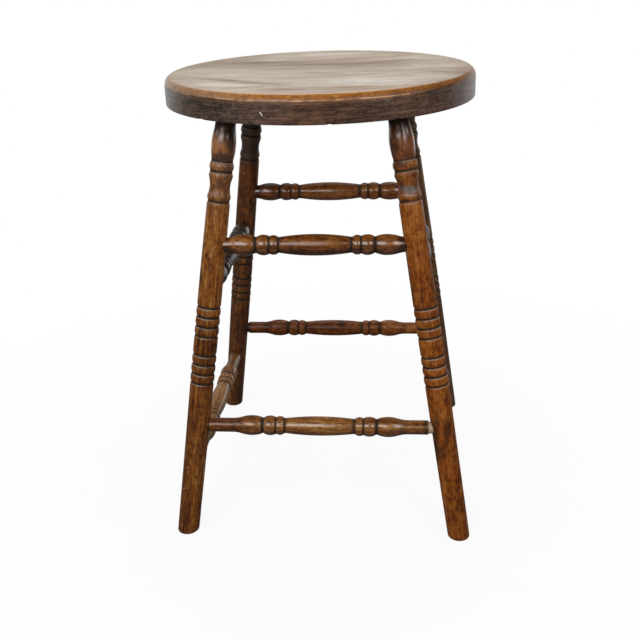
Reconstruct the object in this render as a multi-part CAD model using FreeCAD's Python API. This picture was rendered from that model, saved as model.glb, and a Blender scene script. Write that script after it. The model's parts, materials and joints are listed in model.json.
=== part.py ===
"""A turned counter stool: round plank seat, four splayed legs and two tiers of turned rails.

Millimetres, +Z up. The origin is on the floor under the middle of the seat. The front of the stool
faces -Y, and +X is to the right of someone who looks at the front.
"""
import FreeCAD
import Part
import math
import os

Vector = FreeCAD.Vector

# Seat
seat_height = 610.0              # floor to the top of the seat
seat_diameter = 415.0
seat_thickness = 34.7
seat_edge_width = 6.0            # worn slope round the top edge, measured inwards
seat_edge_drop = 6.8             # the same slope, measured downwards
seat_edge_bulge = 0.7            # how far the slope swells past a straight bevel
seat_lower_edge_round = 1.2

# Leg layout: distance of each leg's axis from the middle, the same along X and along Y
leg_spread_at_seat = 107.0
leg_spread_at_floor = 191.2
front_socket_shift = 2.6         # the front pair of leg sockets was bored this far left of the middle

# Turned head of a leg: each member's drop below the seat and its diameter
leg_neck_drop = 11.3             # lower end of the plain neck
leg_neck_diameter = 26.0
leg_vase_drop = 41.3
leg_vase_diameter = 31.7
leg_vase_groove_drop = 60.9      # middle of the groove's flat floor
leg_vase_groove_diameter = 28.0
leg_collar_drop = 67.8
leg_collar_diameter = 31.6
leg_collar_groove_drop = 74.3
leg_collar_groove_diameter = 28.8
leg_lip_drop = 78.6
leg_lip_diameter = 31.0
leg_cove_top_drop = 81.8
leg_cove_top_diameter = 30.5
leg_cove_drop = 93.8
leg_cove_diameter = 26.4
leg_cove_foot_drop = 104.6
leg_cove_foot_diameter = 29.8
leg_bead_drop = 107.0
leg_bead_diameter = 30.4
leg_bead_groove_drop = 111.9
leg_bead_groove_diameter = 28.2
leg_shaft_drop = 115.4           # top of the plain shaft
leg_shaft_diameter = 30.2
leg_groove_floor = 2.6           # width of the flat floor of the head's three grooves

# Lower part of a leg: two sets of rings between grooves, then a plain taper to the floor
leg_swell_diameter = 31.9        # through the ring sets
leg_foot_diameter = 29.8
leg_foot_round = 3.0
leg_upper_rings_drop = 270.3     # middle of the upper set, below the seat
leg_lower_rings_drop = 335.6
leg_rings_per_set = 3
leg_ring_pitch = 13.1
leg_ring_crown = 0.35            # how far a ring swells past the leg
leg_groove_width = 5.6
leg_groove_depth = 0.9

# Turning of a rail: each member's reach from the middle of the rail and its diameter
upper_rail_barrel_diameter = 28.2
lower_rail_barrel_diameter = 26.4
rail_barrel_end_reach = 48.0
rail_barrel_end_diameter = 20.4
rail_ring_reach = 54.7
rail_ring_diameter = 25.8
rail_ring_groove_reach = 59.7
rail_ring_groove_diameter = 22.8
rail_bead_reach = 67.4
rail_bead_diameter = 27.0
rail_bead_groove_reach = 77.6
rail_bead_groove_diameter = 20.8
rail_vase_reach = 92.5
rail_vase_diameter = 27.3
rail_taper_end_reach = 121.0
rail_end_diameter = 19.4

# Rail layout: the side rails sit lower than the front and back ones, so that their sockets miss
upper_rail_drop = 169.1          # front and back, below the seat
upper_side_rail_drop = 225.3
lower_rail_height = 158.0        # front and back, above the floor
lower_side_rail_height = 106.0
rail_shoulder_gap = 3.0          # bare tenon between a rail's shoulder and its leg
front_lower_creep = 1.2          # the front lower rail has worked its way to the left
front_upper_turning_shift = -0.9  # how far each pattern was turned left of the rail's middle
front_lower_turning_shift = -1.9
back_upper_turning_shift = 1.6
back_lower_turning_shift = 4.0

# Joints: round tenons glued into blind sockets
leg_tenon_diameter = 22.0
leg_tenon_length = 24.0
rail_tenon_diameter = 16.2
rail_tenon_depth = 17.0          # below the surface of the leg
socket_clearance = 0.1           # round the tenon, on the radius
socket_end_room = 2.0            # past the end of the tenon
overrun = 10.0                   # how far a cut starts outside the wood

# Places that follow from these sizes
seat_underside = seat_height - seat_thickness
leg_inset = leg_spread_at_floor - leg_spread_at_seat
leg_axis_length = math.hypot(seat_underside, leg_inset, leg_inset)
leg_slant = leg_axis_length / seat_underside
ring_set_reach = leg_rings_per_set * leg_ring_pitch / 2 + leg_groove_width / 2
upper_heights = {"front": seat_underside - upper_rail_drop, "side": seat_underside - upper_side_rail_drop}
lower_heights = {"front": lower_rail_height, "side": lower_side_rail_height}
rail_heights = {"upper": upper_heights, "lower": lower_heights}
rail_barrel_diameters = {"upper": upper_rail_barrel_diameter, "lower": lower_rail_barrel_diameter}


def leg_spread(height):
    """Distance of a leg's axis from the middle, along X or Y, at a height above the floor."""
    return leg_spread_at_floor - leg_inset * height / seat_underside


def leg_axis(side_x, side_y, height):
    """Point on a leg's axis at a height: the front legs lean a little further left than the back ones."""
    shift = front_socket_shift * height / seat_underside if side_y < 0 else 0
    return Vector(side_x * leg_spread(height) - shift, side_y * leg_spread(height), height)


def shaft_diameter(height):
    """Diameter of a leg's plain shaft: it swells down to the ring sets, then tapers to the floor."""
    upper_start = seat_underside - leg_shaft_drop
    upper_end = seat_underside - leg_upper_rings_drop + ring_set_reach
    lower_start = seat_underside - leg_lower_rings_drop - ring_set_reach
    if height > upper_end:
        share = (height - upper_end) / (upper_start - upper_end)
        return leg_swell_diameter + (leg_shaft_diameter - leg_swell_diameter) * share
    share = min(1, height / lower_start)
    return leg_foot_diameter + (leg_swell_diameter - leg_foot_diameter) * share


def mark(place, diameter):
    """A point on a turning's outline: its place along the axis and half its diameter."""
    return Vector(diameter / 2, 0, place)


def line(start, end):
    return Part.LineSegment(start, end).toShape()


def bead(start, crown, end):
    """Arc through three marks: a bead where the crown stands out, a cove where it lies in."""
    return Part.Arc(start, crown, end).toShape()


def bow(edge, belly):
    """Arc from an edge to a belly, where it runs level with the axis."""
    along = edge.z - belly.z
    rise = belly.x - edge.x
    radius = (along ** 2 + rise ** 2) / (2 * rise)
    half_angle = math.asin(along / radius) / 2
    across = belly.x - radius * (1 - math.cos(half_angle))
    middle = Vector(across, 0, belly.z + radius * math.sin(half_angle))
    return Part.Arc(edge, middle, belly).toShape()


def ogee(start, end):
    """Curve from one mark to the next that runs level with the axis at both."""
    middle = (start.z + end.z) / 2
    curve = Part.BezierCurve()
    curve.setPoles([start, Vector(start.x, 0, middle), Vector(end.x, 0, middle), end])
    return curve.toShape()


def turned(edges, start, end):
    """Solid of revolution about Z inside an outline whose edges run between two marks."""
    closing = Part.makePolygon([end, Vector(0, 0, end.z), Vector(0, 0, start.z), start])
    outline = Part.Wire(Part.__sortEdges__(edges + closing.Edges))
    return Part.Face(outline).revolve(Vector(), Vector(0, 0, 1))


def on_leg(drop, diameter):
    """A mark on a leg's outline, by its drop below the seat."""
    return mark((seat_underside - drop) * leg_slant, diameter)


def groove_floor(drop, diameter):
    """The two marks of a groove's flat floor, upper one first."""
    half = leg_groove_floor / 2
    return on_leg(drop - half, diameter), on_leg(drop + half, diameter)


def leg_head_edges(start, end):
    """Outline of the turned head, from the top of the neck to the top of the plain shaft."""
    neck = on_leg(leg_neck_drop, leg_neck_diameter)
    vase = on_leg(leg_vase_drop, leg_vase_diameter)
    vase_foot, collar_top = groove_floor(leg_vase_groove_drop, leg_vase_groove_diameter)
    collar = on_leg(leg_collar_drop, leg_collar_diameter)
    collar_foot, lip_top = groove_floor(leg_collar_groove_drop, leg_collar_groove_diameter)
    lip = on_leg(leg_lip_drop, leg_lip_diameter)
    cove_top = on_leg(leg_cove_top_drop, leg_cove_top_diameter)
    cove = on_leg(leg_cove_drop, leg_cove_diameter)
    cove_foot = on_leg(leg_cove_foot_drop, leg_cove_foot_diameter)
    small_bead = on_leg(leg_bead_drop, leg_bead_diameter)
    bead_foot, groove_end = groove_floor(leg_bead_groove_drop, leg_bead_groove_diameter)
    return [
        line(start, neck),
        ogee(neck, vase),
        bow(vase_foot, vase),
        line(vase_foot, collar_top),
        bead(collar_top, collar, collar_foot),
        line(collar_foot, lip_top),
        bead(lip_top, lip, cove_top),
        bead(cove_top, cove, cove_foot),
        bead(cove_foot, small_bead, bead_foot),
        line(bead_foot, groove_end),
        line(groove_end, end),
    ]


def ring_set_edges(start, middle_drop):
    """Outline of one set of rings, each between two grooves, led up to by a plain stretch from start."""
    half_groove = leg_groove_width / 2
    edges = []
    for index in range(leg_rings_per_set + 1):
        groove_drop = middle_drop + (index - leg_rings_per_set / 2) * leg_ring_pitch
        top = on_leg(groove_drop - half_groove, leg_swell_diameter)
        floor = on_leg(groove_drop, leg_swell_diameter - 2 * leg_groove_depth)
        bottom = on_leg(groove_drop + half_groove, leg_swell_diameter)
        if index:
            crown = on_leg(groove_drop - leg_ring_pitch / 2, leg_swell_diameter + 2 * leg_ring_crown)
            edges.append(bead(start, crown, top))
        else:
            edges.append(line(start, top))
        edges.append(bead(top, floor, bottom))
        start = bottom
    return edges, start


def leg_blank():
    """A turned leg about Z, standing on Z = 0, left long at both ends for its slanting cuts."""
    top = on_leg(-overrun, leg_neck_diameter)
    shaft = on_leg(leg_shaft_drop, leg_shaft_diameter)
    foot = on_leg(seat_underside, leg_foot_diameter)
    below_floor = on_leg(seat_underside + overrun, leg_foot_diameter)
    upper_rings, upper_end = ring_set_edges(shaft, leg_upper_rings_drop)
    lower_rings, lower_end = ring_set_edges(upper_end, leg_lower_rings_drop)
    edges = leg_head_edges(top, shaft) + upper_rings + lower_rings
    edges += [line(lower_end, foot), line(foot, below_floor)]
    return turned(edges, top, below_floor)


def leg_place(side_x, side_y):
    """Placement that stands a leg on its foot and leans it towards its socket in the seat."""
    foot = leg_axis(side_x, side_y, 0)
    top = leg_axis(side_x, side_y, seat_underside)
    return FreeCAD.Placement(foot, FreeCAD.Rotation(Vector(0, 0, 1), top - foot))


def along_leg(side_x, side_y, diameter, start, end):
    """Round rod on a leg's axis, between two distances above the seat's underside."""
    rod = Part.makeCylinder(diameter / 2, end - start, Vector(0, 0, leg_axis_length + start))
    rod.Placement = leg_place(side_x, side_y)
    return rod


def rail_socket(far_leg, near_leg, height):
    """Bore in the near leg for the tenon of a rail from the far leg, with room past the tenon's end."""
    axis_point = leg_axis(*near_leg, height)
    direction = (axis_point - leg_axis(*far_leg, height)).normalize()
    mouth = axis_point - direction * (shaft_diameter(height) / 2 + overrun)
    depth = overrun + rail_tenon_depth + socket_end_room
    return Part.makeCylinder(rail_tenon_diameter / 2 + socket_clearance, depth, mouth, direction)


def leg(side_x, side_y):
    """One leg: leant, cut flat at the floor and the seat, rounded at the foot, tenoned and bored."""
    blank = leg_blank()
    blank.Placement = leg_place(side_x, side_y)
    width = 4 * leg_spread_at_floor
    room = Part.makeBox(width, width, seat_underside, Vector(-width / 2, -width / 2, 0))
    solid = blank.common(room).Solids[0]
    sole = min(solid.Faces, key=lambda face: face.CenterOfMass.z)
    solid = solid.makeFillet(leg_foot_round, sole.Edges)
    solid = solid.fuse(along_leg(side_x, side_y, leg_tenon_diameter, -leg_neck_drop, leg_tenon_length))
    for heights in rail_heights.values():
        solid = solid.cut(rail_socket((-side_x, side_y), (side_x, side_y), heights["front"]))
        solid = solid.cut(rail_socket((side_x, -side_y), (side_x, side_y), heights["side"]))
    return solid.Solids[0]


def seat():
    """The plank seat: a disc with a worn top edge and a slanted blind socket for each leg."""
    top = mark(seat_height, 0)
    rim = mark(seat_height, seat_diameter - 2 * seat_edge_width)
    arris = mark(seat_height - seat_edge_drop, seat_diameter)
    slope = arris - rim
    swell = Vector(-slope.z, 0, slope.x).normalize() * seat_edge_bulge
    side = mark(seat_underside + seat_lower_edge_round, seat_diameter)
    lower_rim = mark(seat_underside, seat_diameter - 2 * seat_lower_edge_round)
    edges = [
        line(top, rim),
        bead(rim, rim + slope / 2 + swell, arris),
        line(arris, side),
        bow(lower_rim, side),
    ]
    solid = turned(edges, top, lower_rim)
    bore = leg_tenon_diameter + 2 * socket_clearance
    depth = leg_tenon_length + socket_end_room
    for side_x in sides.values():
        for side_y in ends.values():
            solid = solid.cut(along_leg(side_x, side_y, bore, -overrun, depth))
    return solid.Solids[0]


def rail_end_edges(side, far_reach):
    """Outline of a rail from the end of its barrel outwards, towards +Z or -Z."""
    barrel_end = mark(side * rail_barrel_end_reach, rail_barrel_end_diameter)
    ring = mark(side * rail_ring_reach, rail_ring_diameter)
    ring_groove = mark(side * rail_ring_groove_reach, rail_ring_groove_diameter)
    crown = mark(side * rail_bead_reach, rail_bead_diameter)
    bead_groove = mark(side * rail_bead_groove_reach, rail_bead_groove_diameter)
    vase = mark(side * rail_vase_reach, rail_vase_diameter)
    taper_end = mark(side * rail_taper_end_reach, rail_end_diameter)
    return [
        bead(barrel_end, ring, ring_groove),
        bead(ring_groove, crown, bead_groove),
        bow(bead_groove, vase),
        ogee(vase, taper_end),
        line(taper_end, mark(side * far_reach, rail_end_diameter)),
    ]


def rail(first_leg, second_leg, height, barrel_diameter, turning_shift, creep):
    """One rail from leg to leg: a turned body between two shoulders, on a long tenon rod."""
    first = leg_axis(*first_leg, height)
    second = leg_axis(*second_leg, height)
    surface = first.distanceToPoint(second) / 2 - shaft_diameter(height) / 2
    shoulder = surface - rail_shoulder_gap
    tenon_end = surface + rail_tenon_depth
    far_reach = rail_taper_end_reach + tenon_end
    barrel = bead(
        mark(-rail_barrel_end_reach, rail_barrel_end_diameter),
        mark(0, barrel_diameter),
        mark(rail_barrel_end_reach, rail_barrel_end_diameter),
    )
    edges = [barrel] + rail_end_edges(-1, far_reach) + rail_end_edges(1, far_reach)
    body = turned(edges, mark(-far_reach, rail_end_diameter), mark(far_reach, rail_end_diameter))
    body.translate(Vector(0, 0, -turning_shift))
    between = Part.makeCylinder(barrel_diameter, 2 * shoulder, Vector(0, 0, -shoulder))
    tenons = Part.makeCylinder(rail_tenon_diameter / 2, 2 * tenon_end, Vector(0, 0, -tenon_end))
    solid = body.common(between).fuse(tenons).Solids[0]
    solid.translate(Vector(0, 0, -creep))
    turn = FreeCAD.Rotation(Vector(0, 0, 1), second - first)
    solid.Placement = FreeCAD.Placement((first + second) / 2, turn) * solid.Placement
    return solid


sides = {"left": -1, "right": 1}
ends = {"front": -1, "back": 1}
turning_shifts = {
    "rail_front_upper": front_upper_turning_shift,
    "rail_front_lower": front_lower_turning_shift,
    "rail_back_upper": back_upper_turning_shift,
    "rail_back_lower": back_lower_turning_shift,
}
creeps = {"rail_front_lower": front_lower_creep}
rail_legs = {end: ((-1, side_y), (1, side_y), "front") for end, side_y in ends.items()}
rail_legs.update({side: ((side_x, -1), (side_x, 1), "side") for side, side_x in sides.items()})

parts = {"seat": seat()}
for end, side_y in ends.items():
    for side, side_x in sides.items():
        parts[f"leg_{end}_{side}"] = leg(side_x, side_y)
for tier, heights in rail_heights.items():
    for place, (first_leg, second_leg, row) in rail_legs.items():
        name = f"rail_{place}_{tier}"
        barrel = rail_barrel_diameters[tier]
        shift = turning_shifts.get(name, 0)
        parts[name] = rail(first_leg, second_leg, heights[row], barrel, shift, creeps.get(name, 0))

os.makedirs("parts", exist_ok=True)
for name, shape in parts.items():
    shape.exportStep(f"parts/{name}.step")
    print(f"{name}: {shape.Volume:.0f} mm3, valid {shape.isValid()}")
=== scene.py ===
"""Looks of a turned counter stool: a round plank seat, four splayed legs and two tiers of turned rails.

Metres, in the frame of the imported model: +Z up, the floor at Z = 0, the front of the stool towards -Y.
Each wooden piece is one closed skin worked out with numpy as rings of points round an axis.
"""
import json
import math

import bpy
import numpy as np
from mathutils import Matrix, Vector


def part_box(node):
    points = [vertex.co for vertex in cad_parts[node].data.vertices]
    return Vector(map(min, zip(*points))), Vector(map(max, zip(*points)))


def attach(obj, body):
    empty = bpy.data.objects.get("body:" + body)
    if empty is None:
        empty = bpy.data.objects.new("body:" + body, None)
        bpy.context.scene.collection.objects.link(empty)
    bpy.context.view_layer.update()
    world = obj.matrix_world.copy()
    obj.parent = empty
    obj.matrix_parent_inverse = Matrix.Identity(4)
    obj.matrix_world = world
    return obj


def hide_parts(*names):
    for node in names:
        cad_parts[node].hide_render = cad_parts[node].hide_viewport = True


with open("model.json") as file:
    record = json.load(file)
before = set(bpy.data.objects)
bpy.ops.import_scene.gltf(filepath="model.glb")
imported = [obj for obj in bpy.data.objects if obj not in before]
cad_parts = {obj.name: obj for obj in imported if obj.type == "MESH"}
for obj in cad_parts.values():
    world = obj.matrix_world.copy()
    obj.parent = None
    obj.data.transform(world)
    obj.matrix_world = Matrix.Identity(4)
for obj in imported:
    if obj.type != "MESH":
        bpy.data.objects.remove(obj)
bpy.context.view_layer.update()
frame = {"record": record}

# Sizes read from the frame
mounts = {mount["name"]: mount["pos_m"] for mount in frame["record"]["mounts"]}
foot_spread = mounts["foot_front_right"][0]
seat_low, seat_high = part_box("seat")
seat_top = seat_high.z
underside = seat_low.z
seat_radius = seat_high.x

# Seat edge
seat_edge_width = 0.0060         # worn slope round the top edge, measured inwards
seat_edge_drop = 0.0068          # the same slope, measured downwards
seat_edge_bulge = 0.0007
seat_lower_round = 0.0012
seat_dish = 0.0005               # how far the middle is worn below the rim
seat_dish_rise = (0.010, 0.040)  # distances from the arris between which the dish begins
seat_pole = 0.0040               # radius of the innermost ring of points, above and below
seat_flat_margin = 0.0020        # between the flat underside's last ring and the rounded edge
seat_columns = 800
seat_rows = {"underside": 18, "rounded": 6, "side": 22, "slope": 14, "top": 36}
# Worn arris: waves round it, how far along the profile its wear reaches, and the wear down and in
arris_waves = (3, 5, 9, 14, 23, 37)
arris_wave_limit = 1.5
arris_reach = 0.0030
arris_drop = 0.0003
arris_blunting = 0.0004
arris_unevenness = 0.0002
# Nicks in the lower edge: bearing from the front in degrees, width and depth
seat_nicks = (
    (7.8, 0.0020, 0.0013),
    (-39.8, 0.0034, 0.0009),
    (31.0, 0.0050, 0.0007),
    (-118.0, 0.0040, 0.0012),
)

# Legs: each mark has the curve that leads to it, its drop below the seat and its diameter
seat_spread = 0.1070             # distance of a leg's axis from the middle at the seat, along X and Y
front_socket_shift = 0.0026      # the front pair of leg sockets lies this far left of the middle
leg_neck_diameter = 0.0260
leg_head = (
    ("straight", 0.0113, 0.0260),    # lower end of the plain neck
    ("ogee", 0.0413, 0.0317),        # belly of the vase
    ("from_belly", 0.0596, 0.0280),
    ("straight", 0.0622, 0.0280),    # floor of the groove under the vase
    ("crown", 0.0678, 0.0316),       # collar
    ("arc", 0.0730, 0.0288),
    ("straight", 0.0756, 0.0288),    # floor of the groove under the collar
    ("crown", 0.0786, 0.0310),       # lip
    ("arc", 0.0818, 0.0305),
    ("crown", 0.0938, 0.0264),       # cove
    ("arc", 0.1046, 0.0298),
    ("crown", 0.1070, 0.0304),       # small bead
    ("arc", 0.1106, 0.0282),
    ("straight", 0.1132, 0.0282),    # floor of the groove under the bead
    ("straight", 0.1154, 0.0302),    # top of the plain shaft
)
leg_swell_diameter = 0.0319
leg_foot_diameter = 0.0298
leg_foot_round = 0.0030
ring_set_drops = (0.2703, 0.3356)
rings_per_set = 3
ring_pitch = 0.0131
ring_crown = 0.00035
ring_groove_width = 0.0056
ring_groove_depth = 0.0009
leg_tenon_diameter = 0.0220
leg_tenon_length = 0.0240
tenon_chamfer = 0.0010
level_at_floor = 0.030           # stretches over which a leg's rings turn from square to level
level_at_seat = 0.012

# Rails: each mark has the curve that leads to it, its reach from the middle and its diameter
rail_barrel_diameters = {"upper": 0.0282, "lower": 0.0264}
rail_half = (
    ("from_belly", 0.0480, 0.0204),  # end of the barrel
    ("crown", 0.0547, 0.0258),       # ring
    ("arc", 0.0597, 0.0228),
    ("crown", 0.0674, 0.0270),       # bead
    ("arc", 0.0776, 0.0208),
    ("to_belly", 0.0925, 0.0273),    # vase
    ("ogee", 0.1210, 0.0194),        # end of the taper
)
rail_end_diameter = 0.0194
rail_tenon_diameter = 0.0162
rail_tenon_depth = 0.0170        # below the surface of the leg
rail_shoulder_gap = 0.0030       # bare tenon between a rail's shoulder and its leg
# How far left of a rail's middle its pattern was turned
turning_shifts = {
    "rail_front_upper": -0.0009,
    "rail_front_lower": -0.0019,
    "rail_back_upper": 0.0016,
    "rail_back_lower": 0.0040,
}
bare_tenon_rail = "rail_front_lower"  # its right tenon has worked out of the leg and shows unstained wood

# Surfaces of the turnings
fine_step = 0.0006               # spacing of rings on a turned curve
plain_step = 0.0030              # and on a plain stretch
mean_samples = 8                 # points to a width, where an outline is averaged
sharp_edge = 50                  # degrees
leg_surface = (72, 26, 0.00030)  # columns of points, number of dents and depth of the deepest
rail_surface = (64, 14, 0.00018)
dent_widths = (0.0015, 0.0045)
dent_depths = (0.3, 1.0)         # as shares of the deepest
dent_stretch = 2                 # how many times longer than wide a dent is
out_of_round = 0.006             # as a share of the radius
wave_counts = (2, 2, 3, 4)       # waves round a turning that is out of round
wave_pitches = (25, 70)          # and their turn along it, in radians to the metre
worn_radii = (0.009, 0.012)      # radii between which wear comes in, so that rail tenons keep their size
worn_from_end = 0.004            # length from a piece's first end over which it comes in too
grain_shift = 0.5                # how far along the grain a piece's pattern may be moved
# Hollows of an outline: the width over which its mean runs, and the depth that counts as full
leg_groove = (0.0027, 0.0009)
rail_groove = (0.0022, 0.0014)
broad_hollow = (0.0070, 0.0020)
rail_flank = (0.0048, 0.0018)
# How strongly flanks darken with dirt and painted shade: a share of the broad hollow on legs, and on rails a
# share of a narrower one with a start everywhere
leg_flank_share = 0.7
rail_flank_share = 1.6
rail_flank_start = 0.12
dust_and_sheen_level = 0.22               # share of a leg groove's depth at which dust and a painted highlight lie
dust_and_sheen_spread = 0.20
# Tilts of a surface, from -1 looking down to 1 looking up, between which an effect comes in
dust_and_sheen_tilts = (0.28, 0.53)
glossy_tilts = (0.80, 0.60)
upper_tilts = (0.5, 0.8)
lower_tilts = (0.3, -0.1)
under_tilts = (-0.2, -0.8)
highlight_tilt = 0.42
highlight_spread = 0.2

# How dark (-) or light (+) the stain is, along a leg by drop below the seat
leg_stains = {
    "leg_front_left": (
        (0.000, -0.06), (0.030, 0.18), (0.044, 0.28), (0.056, -0.02), (0.064, 0.09), (0.095, 0.03),
        (0.120, 0.14), (0.240, 0.10), (0.300, -0.11), (0.380, -0.01), (0.575, -0.07),
    ),
    "leg_front_right": (
        (0.000, -0.08), (0.040, -0.06), (0.056, -0.18), (0.064, 0.06), (0.095, -0.12),
        (0.120, 0.16), (0.240, 0.01), (0.300, 0.12), (0.400, 0.05), (0.575, 0.05),
    ),
    "leg_back_left": ((0.000, -0.10), (0.105, -0.10), (0.120, -0.12), (0.200, -0.12), (0.575, -0.12)),
    "leg_back_right": ((0.000, -0.08), (0.575, -0.06)),
}
# and along a rail by share of its length
rail_stains = {
    "rail_front_upper": (
        (0.0, -0.02), (0.2, -0.02), (0.33, -0.08), (0.5, -0.13), (0.7, -0.04), (1.0, -0.08),
    ),
    "rail_front_lower": ((0.0, -0.10), (0.14, -0.06), (0.22, 0.08), (0.5, 0.19), (0.9, 0.18), (1.0, 0.04)),
    "rail_back_upper": ((0.0, -0.26), (0.2, -0.12), (0.35, 0.12), (0.5, 0.20), (0.8, 0.08), (1.0, -0.14)),
    "rail_back_lower": ((0.0, -0.08), (0.5, -0.02), (1.0, 0.02)),
    "rail_left_lower": ((0.0, 0.24), (0.55, 0.28), (0.66, 0.18), (0.80, 0.06), (1.0, -0.04)),
}
plain_stain = ((0.0, -0.06), (1.0, -0.06))
# The same for a rail's upper and lower sides, stain and painted shade, and painted shade on every rail's
# underside
rail_side_stain_and_shade = {
    "rail_front_upper": (0.02, -0.22),
    "rail_front_lower": (-0.18, -0.10),
    "rail_back_upper": (-0.18, 0.00),
    "rail_back_lower": (-0.06, -0.02),
}
plain_side_stain_and_shade = (-0.06, -0.06)
underside_shade = -0.20
joint_stain = -0.40              # where a rail meets its leg
joint_reach = 0.0070
# How much paler a rail is in a band where it looks partly upwards, where the lamps' highlight lies: rubbed
# wear and painted highlight
rail_rubbed_and_highlight = {"rail_front_upper": 0.06, "rail_front_lower": 0.16, "rail_back_upper": 0.10}
# How far each piece has turned from brown towards red, by the same measures
redness = {
    "leg_front_right": ((0.00, 0.9), (0.12, 0.9), (0.28, 1.0), (0.60, 1.0)),
    "leg_front_left": ((0.00, 1.0), (0.05, 1.0), (0.07, 0.4), (0.25, 0.4), (0.30, 0.4), (0.60, 0.3)),
    "leg_back_left": ((0.00, 0.4), (0.12, 0.6), (0.60, 0.5)),
    "rail_front_upper": ((0.00, 0.3), (1.00, 0.3)),
    "rail_front_lower": ((0.00, 0.5), (0.14, 0.4), (0.22, 0.1), (1.00, 0.1)),
    "rail_back_upper": ((0.00, 0.8), (1.00, 0.7)),
    "rail_back_lower": ((0.00, 0.8), (1.00, 0.8)),
}
# How far old black varnish still covers a piece, by the same measures
varnish = {
    "leg_back_left": ((0.00, 0.72), (0.10, 0.66), (0.12, 0.10), (0.24, 0.12), (0.30, 0.25), (0.60, 0.25)),
    "leg_back_right": ((0.00, 0.44), (0.60, 0.28)),
    "rail_left_upper": ((0.00, 0.85), (1.00, 0.80)),
    "rail_right_upper": ((0.00, 0.70), (1.00, 0.70)),
}
# How far a grey haze of wax and dust, partly a painted sheen, dulls it
haze_and_sheen = {
    "leg_front_left": ((0.02, 0.30), (0.06, 0.22), (0.10, 0.10), (0.13, 0.00)),
    "leg_front_right": ((0.02, 0.10), (0.06, 0.10), (0.13, 0.00)),
    "leg_back_left": ((0.00, 0.60), (0.10, 0.50), (0.12, 0.06), (0.60, 0.04)),
    "leg_back_right": ((0.00, 0.10), (0.60, 0.12)),
    "rail_left_lower": ((0.00, 0.14), (1.00, 0.10)),
}
nothing = ((0.0, 0.0), (1.0, 0.0))
# How much gloss the finish still has
polish = {
    "leg_front_left": ((0.000, 0.8), (0.050, 0.6), (0.060, 0.3), (0.118, 0.1), (0.575, 0.1)),
    "leg_front_right": ((0.000, 0.7), (0.050, 0.7), (0.060, 0.0), (0.118, 0.1), (0.575, 0.1)),
    "rail_front_upper": ((0.30, 1.0), (0.36, 0.5), (0.64, 0.5), (0.70, 1.0)),
    "rail_front_lower": ((0.00, 0.3), (0.16, 0.4), (0.24, 0.9), (0.90, 0.9), (1.00, 0.5)),
    "rail_back_upper": ((0.00, 0.9), (1.00, 0.9)),
    "rail_left_upper": ((0.00, 0.5), (1.00, 0.5)),
    "rail_left_lower": ((0.00, 0.6), (1.00, 0.8)),
}
plain_polish = ((0.0, 0.1), (1.0, 0.1))
# How far the slope round the seat has worn to the tan of the top, partly a painted sheen, by bearing from
# the front in degrees
edge_fade_and_sheen = (
    (-180, 0.5), (-120, 0.6), (-75, 0.90), (-40, 0.45), (-15, 0.0),
    (45, 0.0), (75, 0.1), (120, 0.5), (180, 0.5),
)
# How dark (-) or light (+) that slope is
edge_stain = (
    (-180, 0.0), (-75, 0.0), (-10, 0.05), (25, 0.0), (45, -0.14), (75, -0.28), (120, -0.2), (180, 0.0),
)
# How pale its lower arris is rubbed and lit: wear and a painted highlight
arris_wear_and_highlight = (
    (-180, 0.4), (-70, 0.2), (-35, 0.6), (-20, 1.0), (24, 1.0), (34, 0.8), (42, 0.0), (110, 0.0), (180, 0.4),
)


# Outlines

def bow(edge, belly, steps):
    """Arc from a belly to an edge: it leaves the belly level with the axis; its centre is square below."""
    along = edge[0] - belly[0]
    fall = belly[1] - edge[1]
    radius = (along ** 2 + fall ** 2) / (2 * fall)
    turn = np.linspace(0, math.asin(along / radius), steps)
    return np.stack([belly[0] + radius * np.sin(turn), belly[1] - radius * (1 - np.cos(turn))], axis=1)


def arc(start, crown, end, steps):
    """Arc through three marks: its centre is where the lines that halve the two chords squarely meet."""
    marks = np.array([start, crown, end])
    chords = np.diff(marks, axis=0)
    middles = (marks[1:] + marks[:-1]) / 2
    centre = np.linalg.solve(chords, np.sum(chords * middles, axis=1))
    angles = np.unwrap(np.arctan2(marks[:, 1] - centre[1], marks[:, 0] - centre[0]))
    turn = np.linspace(angles[0], angles[2], steps)
    return centre + np.linalg.norm(marks[0] - centre) * np.stack([np.cos(turn), np.sin(turn)], axis=1)


def ogee(start, end, steps):
    """Cubic curve between two marks that leaves and arrives level with the axis."""
    share = np.linspace(0, 1, steps)
    middle = (start[0] + end[0]) / 2
    outer = (1 - share) ** 3 * start[0] + share ** 3 * end[0]
    along = outer + 3 * (1 - share) * share * middle
    swing = share ** 2 * (3 - 2 * share)
    return np.stack([along, start[1] + (end[1] - start[1]) * swing], axis=1)


def outline(start, marks):
    """Points (place along the axis, radius) of a turning, curve by curve from a start mark onwards."""
    spots = [np.array([start])]
    last = np.array(start)
    crown = None
    for curve, place, diameter in marks:
        mark = np.array([place, diameter / 2])
        if curve == "crown":
            crown = mark
            continue
        step = plain_step if curve == "straight" else fine_step
        steps = max(3, math.ceil(np.linalg.norm(mark - last) / step) + 1)
        if curve == "arc":
            points = arc(last, crown, mark, steps)
        elif curve == "ogee":
            points = ogee(last, mark, steps)
        elif curve == "from_belly":
            points = bow(mark, last, steps)
        elif curve == "to_belly":
            points = bow(last, mark, steps)[::-1]
        else:
            points = np.linspace(last, mark, steps)
        spots.append(points[1:])
        last = mark
    return np.concatenate(spots)


def running_mean(line, width):
    """Radius of an outline averaged along the axis with a bell weight of a given width."""
    step = width / mean_samples
    along = np.arange(line[0, 0], line[-1, 0] + step, step)
    even = np.interp(along, line[:, 0], line[:, 1])
    reach = np.arange(-3 * mean_samples, 3 * mean_samples + 1) * step
    weight = np.exp(-(reach / width) ** 2 / 2)
    padded = np.pad(even, len(reach) // 2, mode="edge")
    mean = np.convolve(padded, weight / weight.sum(), mode="valid")
    return np.interp(line[:, 0], along, mean)


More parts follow.
